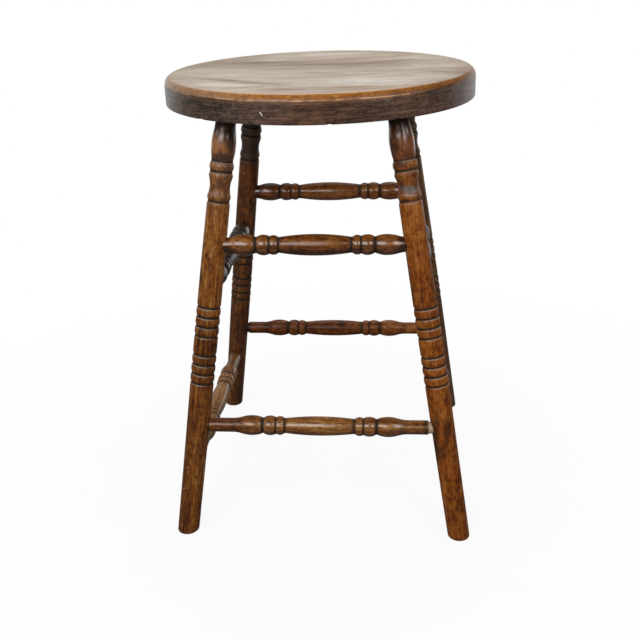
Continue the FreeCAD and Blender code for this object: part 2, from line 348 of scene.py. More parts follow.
def hollows(line, width, full):
    """Depth of each point of an outline below (+) or above (-) its running mean, over a full depth."""
    return np.clip((running_mean(line, width) - line[:, 1]) / full, -1, 1)


# Skins

def rise(values, low, high):
    """Share of the way that values have come from low to high, held at 0 and 1."""
    return np.clip((values - low) / (high - low), 0, 1)


def graded(places, table):
    """Values at places, carried straight between a table's pairs of place and value."""
    return np.interp(places, *zip(*table))


def wrapped(angle):
    """An angle carried into the half turn on each side of zero."""
    return np.remainder(angle + math.pi, 2 * math.pi) - math.pi


def new_object(name, data):
    """Puts a mesh, lamp or camera into the scene as an object at the origin."""
    holder = bpy.data.objects.new(name, data)
    bpy.context.scene.collection.objects.link(holder)
    return holder


def closed_skin(name, rings):
    """Mesh of rings of points joined each to the next, with a fan to the middle of each end ring."""
    rows, columns, _ = rings.shape
    points = np.concatenate([rings.reshape(-1, 3), rings[[0, -1]].mean(axis=1)])
    index = np.arange(rows * columns).reshape(rows, columns)
    beside = np.roll(index, -1, axis=1)
    quads = np.stack([index[:-1], beside[:-1], beside[1:], index[1:]], axis=-1).reshape(-1, 4)
    low_pole = np.full(columns, rows * columns)
    low_fan = np.stack([beside[0], index[0], low_pole], axis=-1)
    high_fan = np.stack([index[-1], beside[-1], low_pole + 1], axis=-1)
    mesh = bpy.data.meshes.new(name)
    mesh.from_pydata(points.tolist(), [], quads.tolist() + low_fan.tolist() + high_fan.tolist())
    mesh.polygons.foreach_set("use_smooth", np.ones(len(mesh.polygons), bool))
    mesh.set_sharp_from_angle(angle=math.radians(sharp_edge))
    return new_object(name, mesh)


def tilt(piece, shape):
    """How much each ring point's surface looks up (+) or down (-): the height part of its normal."""
    normals = np.empty(3 * len(piece.data.vertices))
    piece.data.vertex_normals.foreach_get("vector", normals)
    return normals.reshape(-1, 3)[:-2, 2].reshape(shape)


def paint(piece, name, values):
    """Stores values for the ring points, or one for each ring, as a point attribute.

    A pole takes the mean of its ring.
    """
    columns = (len(piece.data.vertices) - 2) // len(values)
    if values.ndim == 1:
        values = np.repeat(values[:, None], columns, axis=1)
    flat = np.concatenate([values.reshape(-1, *values.shape[2:]), values[[0, -1]].mean(axis=1)])
    kind, key = ("FLOAT_VECTOR", "vector") if flat.ndim == 2 else ("FLOAT", "value")
    attribute = piece.data.attributes.new(name, kind, "POINT")
    attribute.data.foreach_set(key, flat.astype(np.float32).ravel())


def dents(generator, along, around, radius, count, deepest):
    """Sum of small bell-shaped dents at random places on a turning's surface, in metres."""
    places = generator.uniform(along.min(), along.max(), count)
    bearings = generator.uniform(0, 2 * math.pi, count)
    widths = generator.uniform(*dent_widths, count)
    depths = generator.uniform(*dent_depths, count) * deepest
    total = np.zeros(np.broadcast(along, around).shape)
    for place, bearing, width, depth in zip(places, bearings, widths, depths):
        across = wrapped(around - bearing) * radius
        apart = ((along - place) / dent_stretch) ** 2 + across ** 2
        total += depth * np.exp(-apart / width ** 2)
    return total


def wobble(generator, along, around):
    """Out-of-round of hand turning, as a share of the radius: the mean of slow waves round and along it."""
    total = np.zeros(np.broadcast(along, around).shape)
    for waves in wave_counts:
        pitch = generator.uniform(*wave_pitches)
        total += np.cos(waves * around + pitch * along + generator.uniform(0, 2 * math.pi))
    return out_of_round * total / len(wave_counts)


def turned_piece(name, line, origin, axis, across, slant, seed):
    """Skin of a turning: a point is origin + place along the axis + radius (cos, sin) in the cross plane.

    slant gives how far each ring's plane is tipped from square towards level, as a share of the lean.
    """
    generator = np.random.default_rng(seed)
    on_leg = name.startswith("leg")
    columns, dent_count, deepest_dent = leg_surface if on_leg else rail_surface
    around = np.linspace(0, 2 * math.pi, columns, endpoint=False)[None, :]
    along = line[:, :1]
    radius = line[:, 1:]
    worn = radius * wobble(generator, along, around)
    worn = worn - dents(generator, along, around, radius, dent_count, deepest_dent)
    loose = rise(radius, *worn_radii) * rise(np.abs(along - line[0, 0]), 0, worn_from_end)
    radius = radius + worn * loose
    lean = math.tan(math.acos(axis[2])) if slant.any() else 0
    along = along + radius * np.cos(around) * lean * slant[:, None]
    third = np.cross(axis, across)
    rings = origin + along[..., None] * axis
    rings = rings + (radius * np.cos(around))[..., None] * across
    rings = rings + (radius * np.sin(around))[..., None] * third
    piece = closed_skin("turned_" + name, rings)
    offset = generator.uniform(-1, 1, 3) * grain_shift * (0, 0, 1)
    turn = around + generator.uniform(0, 2 * math.pi)
    local = np.stack([radius * np.cos(turn), radius * np.sin(turn), along + 0 * around], axis=-1)
    paint(piece, "grain_place", local + offset)
    looks = tilt(piece, radius.shape)
    paint_hollows(piece, line, looks, on_leg)
    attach(piece, "root")
    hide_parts(name)
    return piece, looks


def paint_hollows(piece, line, looks, on_leg):
    """Stores how far each ring lies in a groove, on a flank or on a crown, and where dust and a painted
    highlight lie.
    """
    tight = hollows(line, *(leg_groove if on_leg else rail_groove))
    wide = hollows(line, *broad_hollow)
    flank = leg_flank_share * wide
    if not on_leg:
        flank = rail_flank_share * hollows(line, *rail_flank) + rail_flank_start
    dust_and_sheen = np.exp(-((tight - dust_and_sheen_level) / dust_and_sheen_spread) ** 2) * on_leg
    paint(piece, "groove", np.clip(tight, 0, 1))
    # hollow: dirt and painted shade on the flanks of beads, coves and collars
    paint(piece, "hollow", np.clip(flank, 0, 1))
    paint(piece, "crown", np.clip(-wide, 0, 1))
    paint(piece, "ledge", dust_and_sheen[:, None] * rise(looks, *dust_and_sheen_tilts))


def paint_finish(piece, name, places, looks):
    """Stores how red, varnished, hazy with wax, dust and painted sheen, and glossy each ring of a turning
    is; sides that look up are dull.
    """
    for key, tables in (("redness", redness), ("varnish", varnish), ("haze_and_sheen", haze_and_sheen)):
        paint(piece, key, graded(places, tables.get(name, nothing)))
    shine = graded(places, polish.get(name, plain_polish))[:, None]
    paint(piece, "polish", shine * rise(looks, *glossy_tilts))


def leg_line(length, slant):
    """Outline of a leg from the middle of its foot to the end of its tenon, worked out from the top down."""
    def above_floor(drop):
        return (underside - drop) * slant

    tenon_end = length + leg_tenon_length
    marks = [
        ("straight", tenon_end, leg_tenon_diameter - 2 * tenon_chamfer),
        ("straight", tenon_end - tenon_chamfer, leg_tenon_diameter),
        ("straight", length, leg_tenon_diameter),
        ("straight", length, leg_neck_diameter),
    ]
    marks += [(curve, above_floor(drop), diameter) for curve, drop, diameter in leg_head]
    half = ring_groove_width / 2
    for middle in ring_set_drops:
        for index in range(rings_per_set + 1):
            drop = middle + (index - rings_per_set / 2) * ring_pitch
            if index:
                ring_middle = above_floor(drop - ring_pitch / 2)
                marks.append(("crown", ring_middle, leg_swell_diameter + 2 * ring_crown))
            marks.append(("arc" if index else "straight", above_floor(drop - half), leg_swell_diameter))
            marks.append(("crown", above_floor(drop), leg_swell_diameter - 2 * ring_groove_depth))
            marks.append(("arc", above_floor(drop + half), leg_swell_diameter))
    sole = leg_foot_diameter - 2 * leg_foot_round
    bend = leg_foot_round * (1 - math.sqrt(0.5))
    marks += [
        ("straight", leg_foot_round, leg_foot_diameter),
        ("crown", bend, leg_foot_diameter - 2 * bend),
        ("arc", 0, sole),
        ("straight", 0, sole / 4),
    ]
    return outline((tenon_end, leg_tenon_diameter / 4), marks)[::-1]


def leg_axis(side_x, side_y, height):
    """Point on a leg's axis at a height: a straight line from its foot to its socket in the seat."""
    share = height / underside
    spread = foot_spread + (seat_spread - foot_spread) * share
    shift = front_socket_shift * share if side_y < 0 else 0
    return np.array([side_x * spread - shift, side_y * spread, height])


def leg(name, side_x, side_y, seed):
    """One leg, leant towards its socket in the seat, with level rings at the floor and at the seat."""
    foot = leg_axis(side_x, side_y, 0)
    top = leg_axis(side_x, side_y, underside)
    length = np.linalg.norm(top - foot)
    axis = (top - foot) / length
    inwards = (top - foot) * (1, 1, 0)
    across = inwards - np.dot(inwards, axis) * axis
    across = across / np.linalg.norm(across)
    inset = foot_spread - seat_spread
    line = leg_line(length, math.hypot(underside, inset, inset) / underside)
    at_floor = rise(line[:, 0], level_at_floor, 0)
    at_seat = rise(np.abs(line[:, 0] - length), level_at_seat, 0)
    piece, looks = turned_piece(name, line, foot, axis, across, np.maximum(at_floor, at_seat), seed)
    drop = underside - line[:, 0] * underside / length
    paint(piece, "stain_and_painted_light", graded(drop, leg_stains[name]))
    paint_finish(piece, name, drop, looks)
    paint(piece, "bare", np.zeros(len(line)))
    return piece


def rail_line(barrel_diameter, shoulder, tenon_end, shift):
    """Outline of a rail from one tenon's end to the other, its pattern turned off the middle by a shift."""
    def half(far_shoulder, far_end):
        marks = list(rail_half)
        marks.append(("straight", far_shoulder, rail_end_diameter))
        marks.append(("straight", far_shoulder, rail_tenon_diameter))
        marks.append(("straight", far_end - tenon_chamfer, rail_tenon_diameter))
        marks.append(("straight", far_end, rail_tenon_diameter - 2 * tenon_chamfer))
        return outline((0, barrel_diameter / 2), marks)

    low = half(shoulder - shift, tenon_end - shift)[::-1] * (-1, 1)
    high = half(shoulder + shift, tenon_end + shift)
    return np.concatenate([low[:-1], high]) - (shift, 0)


def rail(name, first_leg, second_leg, barrel_diameter, seed):
    """One rail, along the line between two legs' axes, in the middle of its node's box."""
    low, high = (np.array(corner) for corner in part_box(name))
    middle = (low + high) / 2
    span = leg_axis(*second_leg, middle[2]) - leg_axis(*first_leg, middle[2])
    axis = span / np.linalg.norm(span)
    tenon_end = np.max(high - low) / 2
    shoulder = tenon_end - rail_tenon_depth - rail_shoulder_gap
    line = rail_line(barrel_diameter, shoulder, tenon_end, turning_shifts.get(name, 0))
    upwards = np.array([0.0, 0.0, 1.0])
    share = (line[:, 0] + tenon_end) / (2 * tenon_end)
    piece, looks = turned_piece(name, line, middle, axis, upwards, np.zeros(len(line)), seed)
    upper, lower = rail_side_stain_and_shade.get(name, plain_side_stain_and_shade)
    stain_and_painted_light = graded(share, rail_stains.get(name, plain_stain))[:, None]
    # painted shade and stain: sides that look up or down are darker or lighter, undersides darker
    stain_and_painted_light = stain_and_painted_light + upper * rise(looks, *upper_tilts) + lower * rise(looks, *lower_tilts)
    # painted highlight and rubbing: a paler band where the rail looks partly upwards
    stain_and_painted_light = stain_and_painted_light + rail_rubbed_and_highlight.get(name, 0) * np.exp(-((looks - highlight_tilt) / highlight_spread) ** 2)
    stain_and_painted_light = stain_and_painted_light + underside_shade * rise(looks, *under_tilts)
    crept = np.zeros(len(line), bool)
    if name == bare_tenon_rail:
        crept = (line[:, 0] >= shoulder) & (line[:, 1] <= rail_tenon_diameter / 2)
    else:
        stain_and_painted_light = stain_and_painted_light + joint_stain * rise(shoulder - np.abs(line[:, :1]), joint_reach, 0)
    paint(piece, "stain_and_painted_light", stain_and_painted_light)
    paint_finish(piece, name, share, looks)
    paint(piece, "bare", np.where(crept, 1.0, 0.0))
    return piece


def seat(seed):
    """The plank seat: an edge profile swung round the middle, with a wavy arris, nicks and a slight dish.

    A point of the profile is (distance from the middle, height); both vary slowly with the bearing.
    """
    generator = np.random.default_rng(seed)
    rim = np.array([seat_radius - seat_edge_width, seat_top])
    arris = np.array([seat_radius, seat_top - seat_edge_drop])
    slope = arris - rim
    swell = np.array([-slope[1], slope[0]]) / np.linalg.norm(slope) * seat_edge_bulge
    lower = underside + seat_lower_round
    flat_radius = seat_radius - seat_lower_round
    bend = np.radians(np.linspace(0, 90, seat_rows["rounded"]))
    corner = np.stack([np.sin(bend), np.cos(bend)], axis=1)
    flat_end = (flat_radius - seat_flat_margin, underside)
    profile = np.concatenate([
        np.linspace((seat_pole, underside), flat_end, seat_rows["underside"]),
        np.array([flat_radius, lower]) + seat_lower_round * corner * (1, -1),
        np.linspace((seat_radius, lower), arris, seat_rows["side"])[1:],
        arc(arris, rim + slope / 2 + swell, rim, seat_rows["slope"])[1:],
        np.linspace(rim, (seat_pole, seat_top), seat_rows["top"])[1:],
    ])
    around = np.linspace(0, 2 * math.pi, seat_columns, endpoint=False)[None, :]
    out = profile[:, :1]
    height = profile[:, 1:]
    walked = np.concatenate([[0], np.cumsum(np.linalg.norm(np.diff(profile, axis=0), axis=1))])
    from_arris = walked - walked[np.argmin(np.linalg.norm(profile - arris, axis=1))]
    from_lower = np.linalg.norm(profile - (seat_radius, underside), axis=1)[:, None]
    wave = np.zeros_like(around)
    for count in arris_waves:
        wave = wave + np.cos(count * around + generator.uniform(0, 2 * math.pi)) / math.sqrt(count)
    near = np.exp(-(from_arris[:, None] / arris_reach) ** 2)
    height = height - np.clip(wave, -arris_wave_limit, arris_wave_limit) * arris_drop * near
    out = out - (arris_blunting + arris_unevenness * np.abs(wave)) * near
    on_top = rise(from_arris[:, None], *seat_dish_rise)
    height = height - seat_dish * on_top * (1 - (profile[:, :1] / seat_radius) ** 2)
    for bearing, width, depth in seat_nicks:
        turned = wrapped(around - math.radians(bearing - 90))
        nick = depth * np.exp(-(turned * seat_radius / width) ** 2 - (from_lower / (2 * depth)) ** 2)
        height = height + nick
        out = out - nick
    rings = np.stack([out * np.cos(around), out * np.sin(around), height + 0 * around], axis=-1)
    piece = closed_skin("plank_seat", rings)
    paint(piece, "grain_place", rings[..., [1, 2, 0]])
    paint(piece, "edge_place", from_arris)
    bearing = np.degrees(wrapped(around + math.pi / 2)) + 0 * out
    for key, table in (("edge_fade_and_sheen", edge_fade_and_sheen), ("edge_stain", edge_stain), ("arris_wear_and_highlight", arris_wear_and_highlight)):
        paint(piece, key, graded(bearing, table))
    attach(piece, "root")
    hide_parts("seat")
    return piece


# Shader recipes

class Recipe:
    """A node tree being written: most calls add a node and give back the socket to read from it."""

    def __init__(self, tree):
        self.tree = tree

    def fill(self, node, inputs):
        """Links each input that is given a socket and sets each one that is given a plain value."""
        for key, value in inputs.items():
            if isinstance(value, bpy.types.NodeSocket):
                self.tree.links.new(value, node.inputs[key])
            else:
                node.inputs[key].default_value = value

    def put(self, kind, inputs, output=0, **settings):
        node = self.tree.nodes.new(kind)
        for key, value in settings.items():
            setattr(node, key, value)
        self.fill(node, inputs)
        return node.outputs[output]

    def use(self, group, **inputs):
        """Puts a node group in with its own values; gives its outputs by name."""
        node = self.tree.nodes.new("ShaderNodeGroup")
        node.node_tree = group
        self.fill(node, {key.replace("_", " "): value for key, value in inputs.items()})
        return node.outputs

    def mask(self, group, **inputs):
        return self.use(group, **inputs)["Mask"]

    def math(self, operation, first, second=0.0, third=0.0, clamp=False):
        inputs = {0: first, 1: second, 2: third}
        return self.put("ShaderNodeMath", inputs, operation=operation, use_clamp=clamp)

    def times(self, first, second, clamp=False):
        return self.math("MULTIPLY", first, second, clamp=clamp)

    def add(self, base, value, share, clamp=False):
        """base plus value times share."""
        return self.math("MULTIPLY_ADD", value, share, base, clamp)

    def larger(self, first, second):
        return self.math("MAXIMUM", first, second)

    def off_middle(self, value):
        """Distance of a value from 0.5, the middle of every noise."""
        return self.math("SUBTRACT", value, 0.5)

    def vector(self, operation, first, second):
        return self.put("ShaderNodeVectorMath", {0: first, 1: second}, operation=operation)

    def length(self, vector):
        return self.put("ShaderNodeVectorMath", {0: vector}, output="Value", operation="LENGTH")

    def part(self, vector, letter):
        return self.put("ShaderNodeSeparateXYZ", {0: vector}, output=letter)

    def noise(self, place, scale, squeeze=1.0, detail=2.0, roughness=0.5):
        """Noise with about scale features to the metre, drawn out along Z where squeeze is under 1."""
        place = self.vector("MULTIPLY", place, (1, 1, squeeze))
        inputs = {"Vector": place, "Scale": scale, "Detail": detail, "Roughness": roughness}
        return self.put("ShaderNodeTexNoise", inputs)

    def span(self, value, low, high, start=0.0, end=1.0):
        """value carried from low..high to start..end, held at both ends."""
        return self.put("ShaderNodeMapRange", {0: value, 1: low, 2: high, 3: start, 4: end}, clamp=True)

    def weigh(self, base, layers):
        """base plus each layer's distance from its middle value, times the layer's weight."""
        total = base
        for layer, weight in layers:
            total = self.add(total, self.off_middle(layer), weight)
        return total

    def blend(self, share, first, second, mode="MIX"):
        inputs = {0: share, 6: first, 7: second}
        return self.put("ShaderNodeMix", inputs, output=2, data_type="RGBA", blend_type=mode)

    def ramp(self, value, stops):
        """Colour of a value on a scale of stops, each a place and a colour."""
        node = self.tree.nodes.new("ShaderNodeValToRGB")
        elements = node.color_ramp.elements
        for index, (place, colour) in enumerate(stops):
            element = elements[index] if index < 2 else elements.new(place)
            element.position = place
            element.color = (*colour, 1)
        self.tree.links.new(value, node.inputs["Fac"])
        return node.outputs["Color"]

    def attribute(self, name, output="Fac"):
        return self.put("ShaderNodeAttribute", {}, output=output, attribute_name=name)

    def spot(self):
        return self.put("ShaderNodeTexCoord", {}, output="Object")

    def ray(self, kind):
        return self.put("ShaderNodeLightPath", {}, output=f"Is {kind} Ray")


def empty_recipe(holder):
    """Recipe for a material's or a world's node tree, with nothing in it yet."""
    holder.use_nodes = True
    holder.node_tree.nodes.clear()
    return Recipe(holder.node_tree)


def new_material(name):
    """A material with only its shader; gives the material, its recipe and the shader."""
    material = bpy.data.materials.new(name)
    recipe = empty_recipe(material)
    shader = recipe.tree.nodes.new("ShaderNodeBsdfPrincipled")
    recipe.fill(recipe.tree.nodes.new("ShaderNodeOutputMaterial"), {"Surface": shader.outputs[0]})
    return material, recipe, shader


def new_group(name, inputs, outputs):
    """An empty node group with named sockets; gives its recipe, its inputs by name and its output node."""
    tree = bpy.data.node_groups.new(name, "ShaderNodeTree")
    kinds = {float: "NodeSocketFloat", tuple: "NodeSocketVector"}
    for key, value in inputs.items():
        socket = tree.interface.new_socket(key, in_out="INPUT", socket_type=kinds[type(value)])
        socket.default_value = value
    for key in outputs:
        tree.interface.new_socket(key, in_out="OUTPUT", socket_type="NodeSocketFloat")
    entry = tree.nodes.new("NodeGroupInput")
    leave = tree.nodes.new("NodeGroupOutput")
    return Recipe(tree), entry.outputs, leave


# Layers of grain: features to the metre across the grain, squeeze along it and detail
grain_layers = {
    "Fibres": (900, 0.025, 2),
    "Streaks": (360, 0.035, 3),
    "Bands": (58, 0.08, 2),
    "Mottle": (330, 0.45, 2),
    "Patches": (120, 0.40, 2),
    "Clouds": (26, 0.40, 1),
    "Curl": (95, 3.2, 1),
}
noise_range = (0.3, 0.7)         # nearly all of a noise's values lie here
pore_layer = (560, 0.18, 1)
pore_range = (0.55, 0.66)
wander_layer = (45, 0.12, 2)
ring_sharpness = 2.2
hollow_mask_start = 0.14                # depth of hollow at which dirt, painted shade and dust begin to lie
mottling = 0.5
scuff_range = (0.42, 0.66)
scratch_range = (0.56, 0.62)
mark_end = 1.1                   # share of a mark's half size at which it has faded out


def wood_grain_group():
    """Grain of wood along Z: stretched noises, growth rings about a leaning pith line, and pores."""
    inputs = {
        "Place": (0.0, 0.0, 0.0),
        "Pith": (0.0, 0.0, 0.0),
        "Lean": (0.0, 0.0, 0.0),
        "Ring width": 0.004,
        "Wander": 0.006,
    }
    recipe, given, leave = new_group("Wood_grain", inputs, (*grain_layers, "Rings", "Pores"))
    place = given["Place"]
    found = {}
    for name, layer in grain_layers.items():
        found[name] = recipe.span(recipe.noise(place, *layer), *noise_range)
    drift = recipe.times(recipe.off_middle(recipe.noise(place, *wander_layer)), given["Wander"])
    pith = recipe.vector("MULTIPLY", given["Lean"], recipe.part(place, "Z"))
    aside = recipe.vector("SUBTRACT", recipe.vector("SUBTRACT", place, given["Pith"]), pith)
    distance = recipe.length(recipe.vector("MULTIPLY", aside, (1, 1, 0)))
    count = recipe.math("DIVIDE", recipe.math("ADD", distance, drift), given["Ring width"])
    found["Rings"] = recipe.math("POWER", recipe.math("FRACT", count), ring_sharpness)
    found["Pores"] = recipe.span(recipe.noise(place, *pore_layer), *pore_range)
    recipe.fill(leave, found)
    return recipe.tree


def grime_group():
    """Dirt and painted shade in hollows, dust and painted highlight on ledges: the hollow's depth, broken up
    by mottling.
    """
    inputs = {"Place": (0.0, 0.0, 0.0), "Hollow": 0.0, "Amount": 1.0, "Edge": 0.3}
    recipe, given, leave = new_group("Grime_shade_and_sheen", inputs, ("Mask",))
    mottle = recipe.noise(given["Place"], scale=260, detail=3, roughness=0.6)
    depth = recipe.add(given["Hollow"], recipe.off_middle(mottle), mottling)
    recipe.fill(leave, {"Mask": recipe.span(depth, hollow_mask_start, given["Edge"], 0.0, given["Amount"])})
    return recipe.tree


def edge_wear_group():
    """Finish rubbed thin on what stands out: the crown's height, broken up by scuffs along the grain."""
    inputs = {"Place": (0.0, 0.0, 0.0), "Crown": 0.0, "Amount": 1.0}
    recipe, given, leave = new_group("Edge_wear", inputs, ("Mask",))
    scuffs = recipe.noise(given["Place"], scale=170, squeeze=0.3, detail=3, roughness=0.65)
    rubbed = recipe.times(given["Crown"], recipe.span(scuffs, *scuff_range))
    recipe.fill(leave, {"Mask": recipe.times(rubbed, given["Amount"], clamp=True)})
    return recipe.tree


def scratch_group():
    """Thin scratches: where a stretched noise passes through its middle value, broken into short lengths."""
    inputs = {"Place": (0.0, 0.0, 0.0), "Width": 0.012, "Amount": 1.0}
    recipe, given, leave = new_group("Scratches", inputs, ("Mask",))
    field = recipe.noise(given["Place"], scale=75, squeeze=0.18, detail=0)
    off_line = recipe.math("ABSOLUTE", recipe.off_middle(field))
    thin = recipe.span(off_line, 0.0, given["Width"], 1.0, 0.0)
    broken = recipe.span(recipe.noise(given["Place"], scale=150, detail=1), *scratch_range)
    line = recipe.times(thin, broken)
    recipe.fill(leave, {"Mask": recipe.times(line, given["Amount"], clamp=True)})
    return recipe.tree


def mark_group():
    """One ragged mark: a rounded patch of a half size on each axis, full within the inner share of it.

    A slope shears the patch, so that it runs across X by that share of its way along X.
    """
    inputs = {
        "Place": (0.0, 0.0, 0.0),
        "Centre": (0.0, 0.0, 0.0),
        "Half size": (1.0, 1.0, 1.0),
        "Slope": (0.0, 0.0, 0.0),
        "Ragged": 0.6,
        "Inner": 0.7,
    }
    recipe, given, leave = new_group("Mark", inputs, ("Mask",))
    offset = recipe.vector("SUBTRACT", given["Place"], given["Centre"])
    lean = recipe.vector("MULTIPLY", given["Slope"], recipe.part(offset, "X"))
    offset = recipe.vector("DIVIDE", recipe.vector("SUBTRACT", offset, lean), given["Half size"])
    mottle = recipe.off_middle(recipe.noise(offset, scale=1.6, detail=3, roughness=0.6))
    far = recipe.add(recipe.length(offset), mottle, given["Ragged"])
    recipe.fill(leave, {"Mask": recipe.span(far, given["Inner"], mark_end, 1.0, 0.0)})
    return recipe.tree


grain = wood_grain_group()
grime_shade_and_sheen = grime_group()
edge_wear = edge_wear_group()
scratches = scratch_group()
mark = mark_group()


def wood_bump(recipe, wood):
    """Faint relief of wood: streaks stand up and pores sink in."""
    relief = recipe.math("SUBTRACT", recipe.times(wood["Streaks"], 0.5), wood["Pores"])
    return recipe.put("ShaderNodeBump", {"Strength": 0.08, "Distance": 0.0001, "Height": relief})


# Colours of the turned wood, from the darkest streaks to the palest
turned_colours = (
    (0.00, (0.020, 0.0080, 0.0035)),
    (0.30, (0.082, 0.0250, 0.0055)),
    (0.52, (0.175, 0.0580, 0.0100)),
    (0.75, (0.285, 0.1150, 0.0230)),
    (1.00, (0.420, 0.2150, 0.0680)),
)
red_tint = (1.08, 0.76, 0.42, 1)
blotch = (0.070, 0.0180, 0.0055, 1)
bare_wood = (0.50, 0.370, 0.255, 1)
# near-black of old varnish, also used as the painted shade under the seat
old_varnish_and_shade = (0.0135, 0.0122, 0.0110, 1)
dark_stain = (0.028, 0.0095, 0.0045, 1)
grey_haze_and_sheen = (0.24, 0.195, 0.140, 1)
deep_pore = (0.026, 0.010, 0.0045, 1)
rubbed_wood = (0.34, 0.150, 0.040, 1)
scratched_wood = (0.34, 0.22, 0.13, 1)
turned_grain = {"Pith": (0.035, 0.0, 0.0), "Lean": (0.05, 0.02, 0.0), "Ring_width": 0.0042, "Wander": 0.012}
turned_tone = 0.55
blotching = 1.6
# Dirt and painted light on the turnings: the attribute it follows, how thick it lies, the depth where it is
# full, its colour
turned_dirt_shade_and_sheen = {
    # dirt and painted shade on flanks
    "hollow": (0.85, 0.90, (0.026, 0.015, 0.009, 1)),
    "groove": (0.94, 0.50, (0.017, 0.013, 0.008, 1)),
    # dust, and a painted highlight on groove shoulders that look up
    "ledge": (0.75, 0.80, (0.340, 0.260, 0.190, 1)),
}
# Black under the seat, old varnish and painted shade from the seat: drops below it at which the black starts
# and is full, and its ragged edge
under_seat_shade_start = 0.034
under_seat_shade_full = 0.010
under_seat_shade_raggedness = 0.02
# Marks on the turnings, and a painted highlight: centre, half size along X, Y and Z, colour and strength
turned_marks_and_highlights = (
    ((0.1195, -0.1363, 0.4787), (0.0165, 0.0160, 0.0060), (0.140, 0.135, 0.120, 1), 0.75),
    # painted highlight: a pale line under the grey patch on the front right leg's cove
    ((0.1200, -0.1370, 0.4722), (0.0150, 0.0160, 0.0012), (0.400, 0.360, 0.310, 1), 0.45),
    ((0.1085, -0.1320, 0.5105), (0.0100, 0.0120, 0.0040), (0.050, 0.0130, 0.0070, 1), 0.85),
    ((0.1440, -0.1680, 0.1580), (0.0040, 0.0200, 0.0200), (0.020, 0.014, 0.008, 1), 0.80),
    ((0.1725, -0.1830, 0.1640), (0.0065, 0.0120, 0.0230), (0.050, 0.0150, 0.0060, 1), 0.80),
    ((0.1575, -0.1760, 0.1460), (0.0075, 0.0140, 0.0480), dark_stain, 0.80),
    ((0.1670, -0.1830, 0.1300), (0.0080, 0.0120, 0.0140), (0.050, 0.0150, 0.0060, 1), 0.70),
    ((-0.1165, -0.1270, 0.5215), (0.0150, 0.0120, 0.0065), (0.045, 0.0250, 0.0220, 1), 0.80),
    ((-0.1050, -0.1220, 0.5450), (0.0070, 0.0140, 0.0200), old_varnish_and_shade, 0.85),
    ((0.1884, -0.1981, 0.0551), (0.0030, 0.0060, 0.0130), dark_stain, 0.50),
    ((-0.1516, -0.1470, 0.3687), (0.0030, 0.0060, 0.0140), dark_stain, 0.75),
    ((-0.1580, -0.1642, 0.2828), (0.0025, 0.0060, 0.0090), dark_stain, 0.65),
    ((-0.1543, -0.1626, 0.2981), (0.0040, 0.0060, 0.0025), dark_stain, 0.75),
    ((-0.1914, -0.1927, 0.0689), (0.0014, 0.0040, 0.0012), (0.60, 0.50, 0.36, 1), 0.90),
    ((-0.1826, -0.1917, 0.0958), (0.0010, 0.0040, 0.0010), (0.60, 0.50, 0.36, 1), 0.90),
    ((0.0086, 0.1604, 0.1691), (0.0075, 0.0100, 0.0032), (0.012, 0.008, 0.006, 1), 0.85),
)


def turned_stain(recipe, place, wood):
    """Colour of the stain: streaks and bands about the piece's own tone, blotches where it is red, pores."""
    streaks = ((wood["Fibres"], 0.18), (wood["Streaks"], 0.36), (wood["Mottle"], 0.30))
    bands = (
        (wood["Bands"], 0.20),
        (wood["Patches"], 0.24),
        (wood["Clouds"], 0.16),
        (wood["Curl"], 0.10),
        (wood["Rings"], -0.14),
    )
    red = recipe.attribute("redness")
    blotches = recipe.noise(place, scale=170, squeeze=0.7, detail=4, roughness=0.66)
    tone = recipe.weigh(recipe.math("ADD", recipe.attribute("stain_and_painted_light"), turned_tone), bands)
    tone = recipe.add(tone, recipe.weigh(0.0, streaks), recipe.span(red, 0.4, 1.0, 1.0, 0.45))
    tone = recipe.add(tone, red, recipe.times(recipe.off_middle(blotches), blotching))
    colour = recipe.blend(red, recipe.ramp(tone, turned_colours), red_tint, "MULTIPLY")
    burnt = recipe.times(red, recipe.span(blotches, 0.56, 0.72, 0.0, 0.5))
    colour = recipe.blend(burnt, colour, blotch)
    patchy = recipe.span(wood["Patches"], 0.1, 0.8, 0.4, 1.0)
    pore_depth = recipe.times(recipe.span(red, 0.3, 1.0, 0.6, 0.15), patchy)
    return recipe.blend(recipe.times(wood["Pores"], pore_depth), colour, deep_pore)


